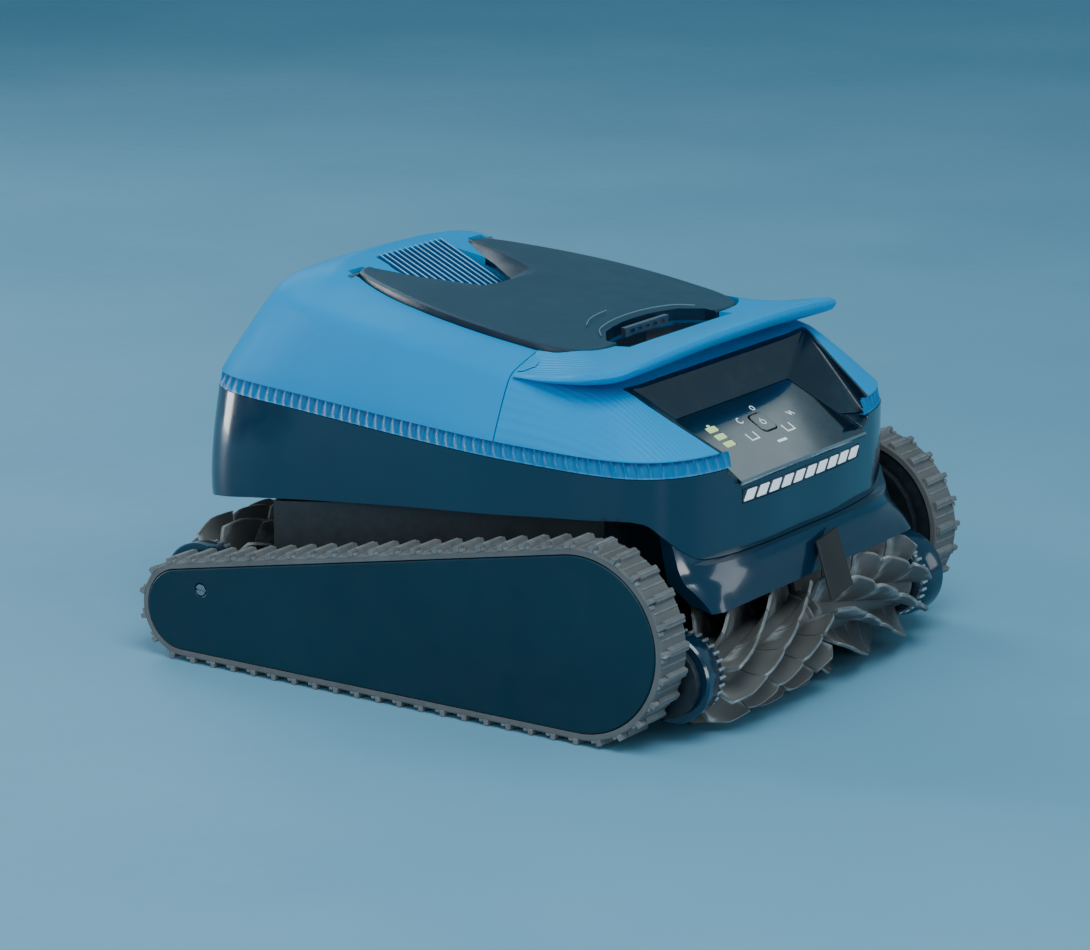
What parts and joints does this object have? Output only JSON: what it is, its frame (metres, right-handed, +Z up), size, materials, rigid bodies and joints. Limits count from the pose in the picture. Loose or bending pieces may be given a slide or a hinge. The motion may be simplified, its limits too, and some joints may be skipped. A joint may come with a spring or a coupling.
{
  "type": "pool cleaner",
  "caption": "Tracked robotic pool cleaner with ribbed cover, hinged filter lid, arched handle over a control recess, light bar and twisted-vane brush rollers at both ends.",
  "frame": {"origin": "middle of the footprint, on the floor under the track lugs", "axes": "+X to the right seen from the front, front towards -Y, +Z up"},
  "size_m": [0.377, 0.456, 0.2585],
  "materials": {
    "shell_blue": "moulded blue ABS, satin gloss, fine ribbed texture at the front",
    "body_navy": "deep navy gloss ABS",
    "lid_slate": "dark slate satin plastic",
    "panel_black": "polished black acrylic",
    "chassis_black": "black glass-filled plastic",
    "tread_rubber": "grey moulded rubber tread",
    "brush_rubber": "grey soft rubber vanes",
    "flap_rubber": "black rubber flap",
    "light_white": "white light guide",
    "light_green": "pale green light guide",
    "latch_metal": "brushed silver latch bar",
    "steel": "stainless steel",
    "motor_case": "dark grey sealed case",
    "filter_mesh": "fine woven filter screen"
  },
  "bodies": {
    "root": {"rear_cover": "shell_blue", "front_cover": "shell_blue", "handle_visor": "shell_blue", "body_shell": "body_navy", "recess_surround": "panel_black", "display_panel": "panel_black", "battery_light": "light_green", "light_bar": "light_white", "lid_hinge_pin_left": "steel", "lid_hinge_pin_right": "steel", "finger_tray": "panel_black", "outlet_grille": "shell_blue", "impeller_housing": "chassis_black", "front_bumper": "body_navy", "chassis_tub": "chassis_black", "bottom_cover": "chassis_black", "inlet_duct": "chassis_black", "filter_basket": "chassis_black", "filter_screen": "filter_mesh", "pump_motor_unit": "motor_case", "battery_pack_left": "motor_case", "drive_motor_left": "motor_case", "battery_pack_right": "motor_case", "drive_motor_right": "motor_case", "control_box": "motor_case", "track_belt_left": "tread_rubber", "side_cover_left": "body_navy", "side_cover_screw_left": "steel", "side_frame_left": "chassis_black", "drive_axle_left": "steel", "idler_axle_left": "steel", "track_belt_right": "tread_rubber", "side_cover_right": "body_navy", "side_cover_screw_right": "steel", "side_frame_right": "chassis_black", "drive_axle_right": "steel", "idler_axle_right": "steel", "front_brush_hub_left": "body_navy", "front_brush_hub_right": "body_navy", "front_brush_axle": "steel", "front_brush_bracket": "chassis_black", "rear_brush_hub_left": "body_navy", "rear_brush_hub_right": "body_navy", "rear_brush_axle": "steel", "rear_brush_bracket": "chassis_black"},
    "power_button": {"power_button": "panel_black"},
    "filter_lid": {"filter_lid": "lid_slate"},
    "lid_latch": {"lid_latch": "latch_metal"},
    "impeller": {"impeller": "panel_black"},
    "inlet_flap": {"inlet_flap": "flap_rubber"},
    "drive_wheel_left": {"drive_wheel_left": "chassis_black"},
    "idler_wheel_left": {"idler_wheel_left": "chassis_black"},
    "drive_pinion_left": {"drive_pinion_left": "steel"},
    "drive_wheel_right": {"drive_wheel_right": "chassis_black"},
    "idler_wheel_right": {"idler_wheel_right": "chassis_black"},
    "drive_pinion_right": {"drive_pinion_right": "steel"},
    "front_brush_left": {"front_brush_left": "brush_rubber"},
    "front_brush_right": {"front_brush_right": "brush_rubber"},
    "rear_brush_left": {"rear_brush_left": "brush_rubber"},
    "rear_brush_right": {"rear_brush_right": "brush_rubber"}
  },
  "joints": [
    {"name": "lid_hinge", "type": "hinge", "parent": "root", "child": "filter_lid", "pos_m": [0, 0.109, 0.2495], "axis": [-1, 0, 0], "range_deg": [0, 75]},
    {"name": "lid_latch_slide", "type": "slide", "parent": "filter_lid", "child": "lid_latch", "axis": [0, 1, 0], "range_m": [0, 0.003], "stiffness_N_per_m": 400},
    {"name": "power_button_press", "type": "slide", "parent": "root", "child": "power_button", "axis": [0, 0.4922, -0.8705], "range_m": [0, 0.0015], "stiffness_N_per_m": 600},
    {"name": "impeller_spin", "type": "hinge", "parent": "root", "child": "impeller", "pos_m": [0, 0.091, 0.156], "axis": [0, 0, 1], "continuous": true},
    {"name": "inlet_flap_swing", "type": "hinge", "parent": "root", "child": "inlet_flap", "pos_m": [0, -0.0075, 0.0958], "axis": [-1, 0, 0], "range_deg": [0, 55]},
    {"name": "drive_wheel_left_spin", "type": "hinge", "parent": "root", "child": "drive_wheel_left", "pos_m": [-0.171, -0.1432, 0.065], "axis": [-1, 0, 0], "continuous": true},
    {"name": "idler_wheel_left_spin", "type": "hinge", "parent": "root", "child": "idler_wheel_left", "pos_m": [-0.171, 0.1727, 0.0355], "axis": [-1, 0, 0], "continuous": true},
    {"name": "drive_pinion_left_spin", "type": "hinge", "parent": "root", "child": "drive_pinion_left", "pos_m": [-0.166, -0.1087, 0.065], "axis": [-1, 0, 0], "continuous": true},
    {"name": "front_brush_left_spin", "type": "hinge", "parent": "root", "child": "front_brush_left", "pos_m": [-0.0636, -0.187, 0.041], "axis": [-1, 0, 0], "continuous": true},
    {"name": "rear_brush_left_spin", "type": "hinge", "parent": "root", "child": "rear_brush_left", "pos_m": [-0.0636, 0.187, 0.041], "axis": [-1, 0, 0], "continuous": true},
    {"name": "drive_wheel_right_spin", "type": "hinge", "parent": "root", "child": "drive_wheel_right", "pos_m": [0.171, -0.1432, 0.065], "axis": [-1, 0, 0], "continuous": true},
    {"name": "idler_wheel_right_spin", "type": "hinge", "parent": "root", "child": "idler_wheel_right", "pos_m": [0.171, 0.1727, 0.0355], "axis": [-1, 0, 0], "continuous": true},
    {"name": "drive_pinion_right_spin", "type": "hinge", "parent": "root", "child": "drive_pinion_right", "pos_m": [0.166, -0.1087, 0.065], "axis": [-1, 0, 0], "continuous": true},
    {"name": "front_brush_right_spin", "type": "hinge", "parent": "root", "child": "front_brush_right", "pos_m": [0.0636, -0.187, 0.041], "axis": [-1, 0, 0], "continuous": true},
    {"name": "rear_brush_right_spin", "type": "hinge", "parent": "root", "child": "rear_brush_right", "pos_m": [0.0636, 0.187, 0.041], "axis": [-1, 0, 0], "continuous": true}
  ],
  "couplings": [
    {"joint": "drive_pinion_left_spin", "follows": "drive_wheel_left_spin", "ratio": 4.8889},
    {"joint": "idler_wheel_left_spin", "follows": "drive_wheel_left_spin", "ratio": 2.0612},
    {"joint": "front_brush_left_spin", "follows": "drive_wheel_left_spin", "ratio": 1.6},
    {"joint": "rear_brush_left_spin", "follows": "drive_wheel_left_spin", "ratio": 1.6},
    {"joint": "drive_pinion_right_spin", "follows": "drive_wheel_right_spin", "ratio": 4.8889},
    {"joint": "idler_wheel_right_spin", "follows": "drive_wheel_right_spin", "ratio": 2.0612},
    {"joint": "front_brush_right_spin", "follows": "drive_wheel_right_spin", "ratio": 1.6},
    {"joint": "rear_brush_right_spin", "follows": "drive_wheel_right_spin", "ratio": 1.6}
  ]
}
